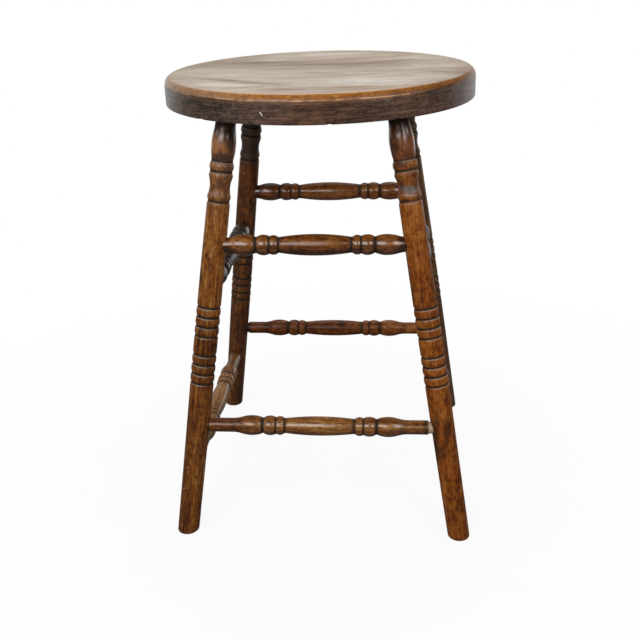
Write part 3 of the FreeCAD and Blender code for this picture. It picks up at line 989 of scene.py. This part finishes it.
def turned_wood():
    """Stained turnings under old varnish: dirt and painted shade in hollows and under the seat, dust and
    painted highlights on ledges, rubbed crowns, scratches, marks.
    """
    material, recipe, shader = new_material("turned_wood")
    place = recipe.attribute("grain_place", "Vector")
    spot = recipe.spot()
    wood = recipe.use(grain, Place=place, **turned_grain)
    colour = turned_stain(recipe, place, wood)
    # grey haze of wax and dust, partly a painted sheen
    colour = recipe.blend(recipe.attribute("haze_and_sheen"), colour, grey_haze_and_sheen)
    worn = recipe.mask(edge_wear, Place=place, Crown=recipe.attribute("crown"), Amount=0.4)
    colour = recipe.blend(worn, colour, rubbed_wood)
    lying = {}
    # dirt, painted shade on flanks, and dust with a painted highlight on ledges
    for name, (amount, full_depth, dirt_shade_and_sheen_colour) in turned_dirt_shade_and_sheen.items():
        depth = recipe.attribute(name)
        lying[name] = recipe.mask(grime_shade_and_sheen, Place=place, Hollow=depth, Amount=amount, Edge=full_depth)
        colour = recipe.blend(lying[name], colour, dirt_shade_and_sheen_colour)
    lines = recipe.mask(scratches, Place=place, Width=0.010, Amount=0.35)
    colour = recipe.blend(lines, colour, scratched_wood)
    for centre, half_size, mark_colour, strength in turned_marks_and_highlights:
        found = recipe.mask(mark, Place=spot, Centre=centre, Half_size=half_size, Ragged=0.9, Inner=0.5)
        broken = recipe.times(found, recipe.span(wood["Mottle"], 0.0, 0.5, 0.4, 1.0))
        colour = recipe.blend(recipe.times(broken, strength), colour, mark_colour)
    # painted shade: the turnings go black just under the seat, together with old varnish where it is kept
    ragged = recipe.off_middle(recipe.noise(place, scale=90))
    height = recipe.add(recipe.part(spot, "Z"), ragged, under_seat_shade_raggedness)
    shade = recipe.span(height, underside - under_seat_shade_start, underside - under_seat_shade_full, 0.0, 0.96)
    kept = recipe.times(recipe.attribute("varnish"), recipe.span(wood["Patches"], 0.0, 1.0, 1.1, 0.8))
    colour = recipe.blend(recipe.larger(shade, kept), colour, old_varnish_and_shade)
    colour = recipe.blend(recipe.attribute("bare"), colour, bare_wood)
    # dirt and painted shade, also under the seat, dull the finish
    dirty_and_shaded = recipe.larger(lying["groove"], lying["hollow"])
    dirty_and_shaded = recipe.larger(dirty_and_shaded, recipe.times(shade, 0.75))
    shine = recipe.times(recipe.attribute("polish"), recipe.span(dirty_and_shaded, 0.2, 0.6, 1.0, 0.0))
    satin = recipe.span(shine, 0.0, 1.0, 0.40, 0.28)
    gloss = recipe.weigh(satin, ((wood["Bands"], -0.06), (wood["Patches"], 0.10)))
    gloss = recipe.add(gloss, recipe.larger(lying["ledge"], dirty_and_shaded), 0.3, clamp=True)
    recipe.fill(shader, {
        "Base Color": colour,
        "Roughness": gloss,
        "Specular IOR Level": 0.24,
        "Coat Weight": shine,
        "Coat Roughness": 0.20,
        "Coat IOR": 1.65,
        "Normal": wood_bump(recipe, wood),
    })
    return material


# Colours of the seat, from the darkest streaks to the palest
top_colours = (
    (0.00, (0.210, 0.125, 0.062)),
    (0.35, (0.420, 0.305, 0.200)),
    (0.65, (0.600, 0.480, 0.355)),
    (1.00, (0.740, 0.640, 0.520)),
)
slope_colours = (
    (0.10, (0.070, 0.022, 0.0040)),
    (0.45, (0.230, 0.072, 0.0070)),
    (1.00, (0.490, 0.190, 0.0240)),
)
side_colours = (
    (0.10, (0.022, 0.0146, 0.0112)),
    (0.50, (0.076, 0.0490, 0.0370)),
    (0.90, (0.180, 0.1140, 0.0850)),
)
rim_varnish = (0.215, 0.120, 0.055, 1)
top_pore = (0.075, 0.046, 0.026, 1)
rubbed_rim = (0.66, 0.46, 0.30, 1)
faded_slope_and_sheen = (0.420, 0.310, 0.220, 1)
slope_pore = (0.060, 0.022, 0.0060, 1)
rubbed_arris_and_highlight = (0.62, 0.320, 0.130, 1)
reddish_side = (0.195, 0.080, 0.026, 1)
red_side_tint = (1.16, 0.90, 0.70, 1)
brown_side_tint = (0.86, 0.74, 0.61, 1)
scratched_side = (0.21, 0.150, 0.110, 1)
scuffed_side = (0.50, 0.400, 0.320, 1)
seat_grain = {"Pith": (0.05, -0.16, 0.0), "Lean": (0.10, 0.03, 0.0), "Ring_width": 0.024, "Wander": 0.08}
broad_grain = (0.4, 0.4, 0.4)    # the same grain drawn larger
round_grain = (0.05, 0.05, 1.0)  # lines that run round the edge
scuff_grain = (3.0, 3.0, 5.0)    # and finer scratches
top_tone = 0.60
side_tone = 0.51
# Where varnish is kept on the top: distances from the middle, and its ragged edge
varnish_radii = (0.172, 0.208)
varnish_raggedness = 0.03
# Places along the edge's profile, from the arris up the slope (+) or down the side (-), where colours change
edge_raggedness = 0.003
arris_raggedness = 0.0014
side_to_slope = (-0.0006, 0.0004)
slope_to_top = (0.0078, 0.0105)
slope_paling = (0.0020, 0.0080)
rubbed_rim_fade = (0.0140, 0.0220)
reddish_side_fade = (-0.0060, -0.0005)
arris_line = (0.0003, 0.0011)
top_dulling = (0.006, 0.010)
# Places along X where the side turns red, and the middle and reach of its brown patch
red_side = (-0.10, -0.02)
brown_side_middle = 0.02
brown_side_reach = (0.03, 0.08)
# Broad bands of the seat's top, and pale patches of painted sheen: centre, half size, slope across the
# grain, colour and strength
seat_bands_and_sheen = (
    ((-0.012, 0.047, 0.61), (0.180, 0.044, 0.1), -0.05, (0.200, 0.108, 0.040, 1), 1.00),
    ((-0.087, 0.080, 0.61), (0.095, 0.022, 0.1), 0.05, (0.165, 0.094, 0.040, 1), 1.00),
    ((0.040, 0.105, 0.61), (0.110, 0.020, 0.1), 0.28, (0.410, 0.215, 0.080, 1), 1.00),
    ((0.085, 0.064, 0.61), (0.058, 0.018, 0.1), 0.30, (0.250, 0.138, 0.048, 1), 1.00),
    ((-0.150, 0.095, 0.61), (0.075, 0.048, 0.1), 0.30, (0.260, 0.140, 0.060, 1), 0.90),
    ((-0.100, -0.090, 0.61), (0.085, 0.013, 0.1), -0.60, (0.220, 0.115, 0.045, 1), 1.00),
    ((-0.078, -0.140, 0.61), (0.030, 0.011, 0.1), 0.30, (0.230, 0.125, 0.055, 1), 1.00),
    ((-0.030, -0.164, 0.61), (0.040, 0.015, 0.1), -0.10, (0.290, 0.150, 0.060, 1), 1.00),
    ((0.048, -0.160, 0.61), (0.060, 0.018, 0.1), 0.00, (0.300, 0.155, 0.060, 1), 1.00),
    ((0.158, -0.040, 0.61), (0.036, 0.012, 0.1), -0.50, (0.260, 0.140, 0.060, 1), 0.90),
    ((0.186, -0.060, 0.61), (0.018, 0.060, 0.1), 0.00, (0.260, 0.140, 0.060, 1), 0.80),
    # painted sheen: the four pale patches below stand in for reflection on the top
    ((0.070, -0.110, 0.61), (0.095, 0.038, 0.1), -0.10, (0.860, 0.780, 0.700, 1), 0.90),
    ((-0.100, -0.030, 0.61), (0.090, 0.036, 0.1), -0.10, (0.770, 0.680, 0.580, 1), 0.40),
    ((-0.110, -0.120, 0.61), (0.060, 0.018, 0.1), -0.30, (0.860, 0.780, 0.690, 1), 0.90),
    ((0.000, 0.160, 0.61), (0.090, 0.026, 0.1), 0.00, (0.800, 0.690, 0.570, 1), 0.85),
)
# Small marks on the seat: centre, half size along X, Y and Z, and colour
seat_marks = (
    ((-0.0524, -0.2010, 0.5893), (0.0009, 0.0030, 0.0015), (0.80, 0.77, 0.72, 1)),
    ((-0.0509, -0.2010, 0.5872), (0.0008, 0.0030, 0.0014), (0.80, 0.77, 0.72, 1)),
    ((0.1896, -0.0621, 0.6096), (0.0040, 0.0030, 0.0030), (0.045, 0.030, 0.020, 1)),
)
scuff_centre = (0.0880, -0.1880, 0.5985)
scuff_half_size = (0.0150, 0.0200, 0.0060)


def seat_top_colour(recipe, spot, wood, broad):
    """Worn grey-tan top: streaks along X, varnish kept near the rim, then broad bands, painted sheen and
    pores.
    """
    layers = (
        (wood["Fibres"], 0.10),
        (wood["Streaks"], 0.14),
        (wood["Bands"], 0.16),
        (broad["Bands"], 0.22),
        (broad["Patches"], 0.24),
        (wood["Rings"], -0.06),
    )
    top = recipe.ramp(recipe.weigh(top_tone, layers), top_colours)
    radius = recipe.length(recipe.vector("MULTIPLY", spot, (1, 1, 0)))
    cloud = recipe.add(radius, recipe.off_middle(wood["Clouds"]), varnish_raggedness)
    top = recipe.blend(recipe.span(cloud, *varnish_radii, 0.0, 0.45), top, rim_varnish)
    for centre, half_size, slope, band_and_sheen_colour, strength in seat_bands_and_sheen:
        patch = {"Centre": centre, "Half_size": half_size, "Slope": (0.0, slope, 0.0)}
        found = recipe.mask(mark, Place=spot, Ragged=1.2, Inner=0.1, **patch)
        streaked = recipe.times(found, recipe.span(broad["Streaks"], 0.1, 0.6, 0.5, 1.0))
        top = recipe.blend(recipe.times(streaked, strength), top, band_and_sheen_colour)
    return recipe.blend(recipe.times(wood["Pores"], 0.3), top, top_pore)


def seat_slope_colour(recipe, wood, turned_lines, edge):
    """Orange slope: turned lines and mottling, paler towards the top, faded to tan where it is worn and
    where a sheen is painted.
    """
    layers = (
        (turned_lines, 0.30),
        (wood["Bands"], 0.20),
        (wood["Patches"], 0.20),
        (wood["Mottle"], 0.36),
    )
    paling = recipe.span(edge, *slope_paling, 0.45, 0.80)
    tone = recipe.weigh(recipe.math("ADD", recipe.attribute("edge_stain"), paling), layers)
    slope = recipe.ramp(tone, slope_colours)
    # wear and painted sheen: the slope fades to pale tan
    faded_and_sheen = recipe.times(recipe.attribute("edge_fade_and_sheen"), recipe.span(wood["Patches"], 0.0, 1.0, 0.7, 1.0))
    slope = recipe.blend(faded_and_sheen, slope, faded_slope_and_sheen)
    return recipe.blend(recipe.times(wood["Pores"], 0.45), slope, slope_pore)


def seat_side_colour(recipe, place, spot, wood, broad, turned_lines):
    """Dark brown side: turned lines and fibres, redder to the right, a brown patch, scratches and scuffs."""
    layers = (
        (turned_lines, 0.62),
        (wood["Fibres"], 0.34),
        (wood["Mottle"], 0.40),
        (wood["Patches"], 0.22),
        (wood["Clouds"], 0.22),
    )
    side = recipe.ramp(recipe.weigh(side_tone, layers), side_colours)
    across = recipe.part(spot, "X")
    reddened = recipe.span(across, *red_side, 0.0, 0.7)
    reddened = recipe.times(reddened, recipe.span(broad["Patches"], 0.2, 0.8, 0.6, 1.0))
    side = recipe.blend(reddened, side, red_side_tint, "MULTIPLY")
    from_middle = recipe.math("ABSOLUTE", recipe.math("SUBTRACT", across, brown_side_middle))
    browned = recipe.span(from_middle, *brown_side_reach, 1.0, 0.0)
    side = recipe.blend(browned, side, brown_side_tint, "MULTIPLY")
    lines = recipe.mask(scratches, Place=place, Width=0.012, Amount=0.5)
    side = recipe.blend(lines, side, scratched_side)
    scuffed = recipe.mask(mark, Place=spot, Centre=scuff_centre, Half_size=scuff_half_size, Inner=0.3)
    fine = recipe.vector("MULTIPLY", spot, scuff_grain)
    scuffs = recipe.mask(scratches, Place=fine, Width=0.05, Amount=scuffed)
    return recipe.blend(scuffs, side, scuffed_side)


def seat_wood():
    """Old plank: worn grey-tan top along X with painted sheen, orange slope, a pale arris of wear and
    painted highlight, and a dark brown side.
    """
    material, recipe, shader = new_material("seat_wood")
    place = recipe.attribute("grain_place", "Vector")
    spot = recipe.spot()
    wood = recipe.use(grain, Place=place, **seat_grain)
    broad = recipe.use(grain, Place=recipe.vector("MULTIPLY", place, broad_grain))
    ragged = recipe.off_middle(recipe.noise(place, scale=120, detail=3, roughness=0.6))
    edge = recipe.add(recipe.attribute("edge_place"), ragged, edge_raggedness)
    arris = recipe.add(recipe.attribute("edge_place"), ragged, arris_raggedness)
    round_place = recipe.vector("MULTIPLY", spot, round_grain)
    round_lines = recipe.noise(round_place, scale=620, detail=3, roughness=0.6)
    turned_lines = recipe.span(round_lines, *noise_range)
    worn_and_lit_front = recipe.attribute("arris_wear_and_highlight")
    top = seat_top_colour(recipe, spot, wood, broad)
    on_rim = recipe.times(recipe.span(edge, *rubbed_rim_fade, 0.60, 0.0), worn_and_lit_front)
    top = recipe.blend(on_rim, top, rubbed_rim)
    slope = seat_slope_colour(recipe, wood, turned_lines, edge)
    side = seat_side_colour(recipe, place, spot, wood, broad, turned_lines)
    reddish = recipe.times(recipe.span(arris, *reddish_side_fade, 0.0, 0.6), worn_and_lit_front)
    side = recipe.blend(reddish, side, reddish_side)
    colour = recipe.blend(recipe.span(edge, *slope_to_top), slope, top)
    colour = recipe.blend(recipe.span(arris, *side_to_slope), side, colour)
    # wear and painted highlight: a pale line along the arris
    on_arris = recipe.span(recipe.math("ABSOLUTE", arris), *arris_line, 1.0, 0.0)
    rubbed = recipe.times(on_arris, recipe.span(wood["Patches"], 0.25, 0.6, 0.15, 1.0))
    colour = recipe.blend(recipe.times(rubbed, worn_and_lit_front), colour, rubbed_arris_and_highlight)
    for centre, half_size, mark_colour in seat_marks:
        found = recipe.mask(mark, Place=spot, Centre=centre, Half_size=half_size)
        colour = recipe.blend(found, colour, mark_colour)
    dulled = recipe.span(edge, *top_dulling, 0.36, 0.42)
    recipe.fill(shader, {
        "Base Color": colour,
        "Roughness": recipe.weigh(dulled, ((wood["Streaks"], -0.10),)),
        "Specular IOR Level": 0.5,
        "Normal": wood_bump(recipe, wood),
    })
    return material


# Stage

floor_reach = 12.0
floor_points = 25
floor_drop = 0.0002              # keeps the floor clear of the feet
floor_dim = (0.15, 0.15, 0.15, 1)
floor_pale = (0.90, 0.90, 0.90, 1)
floor_shadow = (0.30, 0.85)      # distances from the middle between which the shadow's strength fades out
floor_behind = (1.0, 2.2)        # places along Y where mirrors begin to see white, and see only white
white = (1, 1, 1, 1)
surround_light = 0.18
surround_front = 0.05            # what mirrors see in front of the stool
surround_behind = (0.35, 0.75)
surround_low = (0.20, 0.36)
# Soft lamps: bearing from the front and elevation in degrees, distance, width, height and radiance
lamps = {
    "main_softbox": (-23, 32, 1.82, 1.30, 0.90, 4.2),
    "second_softbox": (36, 31, 1.82, 0.60, 0.90, 4.4),
    "left_softbox": (-75, 31, 1.82, 0.50, 0.40, 3.6),
    "right_softbox": (72, 31, 1.82, 0.50, 0.40, 4.0),
    "back_softbox": (180, 58, 2.00, 1.60, 1.20, 2.4),
    "left_fill": (-145, 8, 1.90, 0.90, 0.50, 5.0),
    "right_fill": (145, 8, 1.90, 0.90, 0.50, 5.0),
}


def floor():
    """Plain pale floor: an even flat grid of points, a hair below the feet.

    It is white with the stool's shadow where it is seen, white in mirrors behind, else dim.
    """
    share = np.linspace(-1, 1, floor_points)
    across, along = np.meshgrid(share * floor_reach, share * floor_reach)
    points = np.stack([across, along, 0 * across - floor_drop], axis=-1).reshape(-1, 3)
    index = np.arange(floor_points ** 2).reshape(floor_points, floor_points)
    corners = (index[:-1, :-1], index[:-1, 1:], index[1:, 1:], index[1:, :-1])
    quads = np.stack(corners, axis=-1).reshape(-1, 4)
    mesh = bpy.data.meshes.new("floor")
    mesh.from_pydata(points.tolist(), [], quads.tolist())
    plane = new_object("floor", mesh)
    material = bpy.data.materials.new("floor_white")
    recipe = empty_recipe(material)
    spot = recipe.spot()
    seen = recipe.ray("Camera")
    matt = recipe.put("ShaderNodeBsdfDiffuse", {"Color": recipe.blend(seen, floor_dim, floor_pale)})
    glow = recipe.put("ShaderNodeEmission", {"Color": white, "Strength": 1.0})
    lit = recipe.times(recipe.span(recipe.length(spot), *floor_shadow, 0.90, 1.0), seen)
    behind = recipe.times(recipe.span(recipe.part(spot, "Y"), *floor_behind), recipe.ray("Glossy"))
    mixed = recipe.put("ShaderNodeMixShader", {0: recipe.larger(lit, behind), 1: matt, 2: glow})
    recipe.fill(recipe.tree.nodes.new("ShaderNodeOutputMaterial"), {"Surface": mixed})
    mesh.materials.append(material)


def softbox(name, bearing, elevation, distance, width, height, radiance):
    """A soft lamp that looks at the middle of the stool from a bearing, measured from straight in front."""
    lamp = bpy.data.lights.new(name, "AREA")
    lamp.shape = "RECTANGLE"
    lamp.size = width
    lamp.size_y = height
    lamp.energy = math.pi * width * height * radiance
    holder = new_object(name, lamp)
    side, rise_angle = math.radians(bearing), math.radians(elevation)
    target = Vector((0, 0, seat_top / 2))
    away = Vector((
        math.sin(side) * math.cos(rise_angle),
        -math.cos(side) * math.cos(rise_angle),
        math.sin(rise_angle),
    ))
    holder.location = target + away * distance
    holder.rotation_euler = away.to_track_quat("Z", "Y").to_euler()
    return holder


def studio_world():
    """White surround where it is seen; white behind the stool in mirrors, dark in front; dim as a light."""
    world = bpy.data.worlds.new("studio")
    recipe = empty_recipe(world)
    towards = recipe.put("ShaderNodeTexCoord", {}, output="Generated")
    low = recipe.span(recipe.part(towards, "Z"), *surround_low, 1.0, 0.0)
    behind = recipe.times(recipe.span(recipe.part(towards, "Y"), *surround_behind), low)
    mirrored = recipe.larger(behind, surround_front)
    bent = recipe.larger(recipe.ray("Glossy"), recipe.ray("Transmission"))
    unseen = recipe.put("ShaderNodeMix", {0: bent, 2: surround_light, 3: mirrored})
    strength = recipe.larger(recipe.ray("Camera"), unseen)
    light = recipe.put("ShaderNodeBackground", {"Color": white, "Strength": strength})
    recipe.fill(recipe.tree.nodes.new("ShaderNodeOutputWorld"), {"Surface": light})
    bpy.context.scene.world = world


def camera():
    """The camera: a place on a circle round the stool, turned down, panned and rolled a little."""
    distance = 1.26653
    height = 0.78213
    bearing, pitch, roll, pan = (math.radians(angle) for angle in (5.11, 23.01, -1.98, 0.50))
    heading = bearing + pan
    forward = Vector((
        -math.sin(heading) * math.cos(pitch),
        math.cos(heading) * math.cos(pitch),
        -math.sin(pitch),
    ))
    right = Vector((math.cos(heading), math.sin(heading), 0))
    up = right.cross(forward)
    tipped_right = right * math.cos(roll) + up * math.sin(roll)
    tipped_up = up * math.cos(roll) - right * math.sin(roll)
    place = Vector((distance * math.sin(bearing), -distance * math.cos(bearing), height))
    view = bpy.data.cameras.new("camera")
    view.sensor_width = 36.0
    view.lens = 51.66
    holder = new_object("camera", view)
    turned = Matrix((tipped_right, tipped_up, -forward)).transposed()
    holder.matrix_world = Matrix.Translation(place) @ turned.to_4x4()
    bpy.context.scene.camera = holder


# The stool and its stage

wood_of_turnings = turned_wood()
wood_of_seat = seat_wood()
sides = {"left": -1, "right": 1}
ends = {"front": -1, "back": 1}
rail_legs = {end: ((-1, side_y), (1, side_y)) for end, side_y in ends.items()}
rail_legs.update({side: ((side_x, -1), (side_x, 1)) for side, side_x in sides.items()})
seed = 11
for end, side_y in ends.items():
    for side, side_x in sides.items():
        seed += 1
        leg(f"leg_{end}_{side}", side_x, side_y, seed).data.materials.append(wood_of_turnings)
for tier, barrel_diameter in rail_barrel_diameters.items():
    for place, (first_leg, second_leg) in rail_legs.items():
        seed += 1
        piece = rail(f"rail_{place}_{tier}", first_leg, second_leg, barrel_diameter, seed)
        piece.data.materials.append(wood_of_turnings)
seat(seed=5).data.materials.append(wood_of_seat)

floor()
for name, sizes in lamps.items():
    softbox(name, *sizes).visible_glossy = not name.endswith("fill")
studio_world()
camera()
bpy.context.scene.view_settings.view_transform = "Standard"
